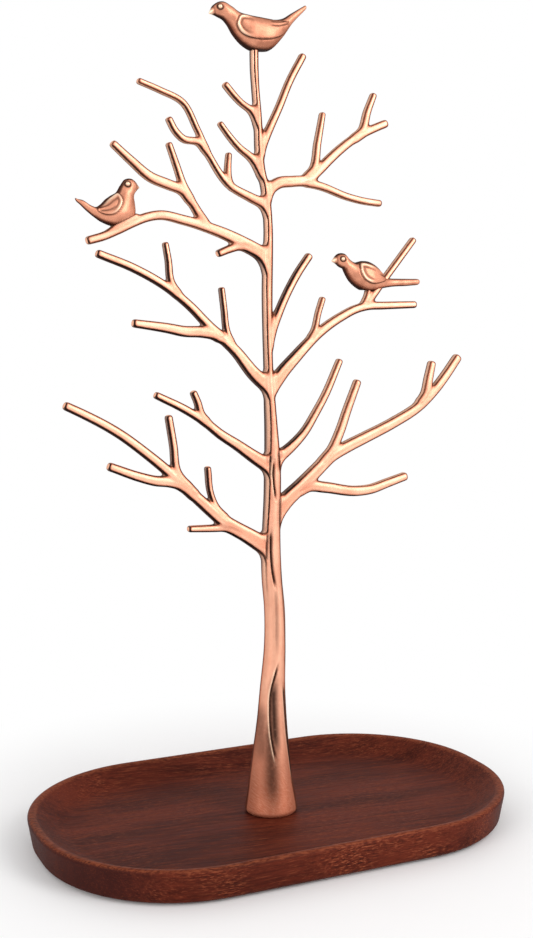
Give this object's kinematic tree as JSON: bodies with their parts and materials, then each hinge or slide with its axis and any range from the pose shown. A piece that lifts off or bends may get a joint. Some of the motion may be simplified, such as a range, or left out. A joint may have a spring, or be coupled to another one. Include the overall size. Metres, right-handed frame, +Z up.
{
  "type": "jewelry rack",
  "caption": "Desk-top jewelry rack: a flat metal tree with forked limbs and small birds, for hanging chains, on a long wooden dish.",
  "frame": {"origin": "middle of the dish, on the surface that the pads stand on", "axes": "+X along the dish to the right, +Y away from the viewer, +Z up; the tree lies about the plane Y = 0"},
  "size_m": [0.2404, 0.1474, 0.3966],
  "materials": {
    "tree_copper": "antique copper plate, rubbed bright on the front and back faces and dark in the hollows",
    "bird_copper": "antique copper plate, satin, dark round the eyes and in the feather lines",
    "dish_wood": "dark reddish brown stain under a satin lacquer, fine grain along the dish",
    "pad_rubber": "matte",
    "fixing_steel": "zinc plated"
  },
  "bodies": {
    "root": {"dish": "dish_wood", "pads": "pad_rubber", "trunk": "tree_copper", "foot_screw": "fixing_steel", "foot_washer": "fixing_steel", "locating_pin": "fixing_steel", "bird_top": "bird_copper", "bird_left": "bird_copper", "bird_right": "bird_copper", "limb_left_low": "tree_copper", "limb_left_short": "tree_copper", "limb_left_middle": "tree_copper", "limb_left_bird": "tree_copper", "limb_left_upper": "tree_copper", "twig_left_upper": "tree_copper", "twig_left_top": "tree_copper", "limb_right_low": "tree_copper", "twig_right_low": "tree_copper", "limb_right_bird": "tree_copper", "twig_right_middle": "tree_copper", "limb_right_upper": "tree_copper", "twig_right_top": "tree_copper"}
  },
  "joints": []
}
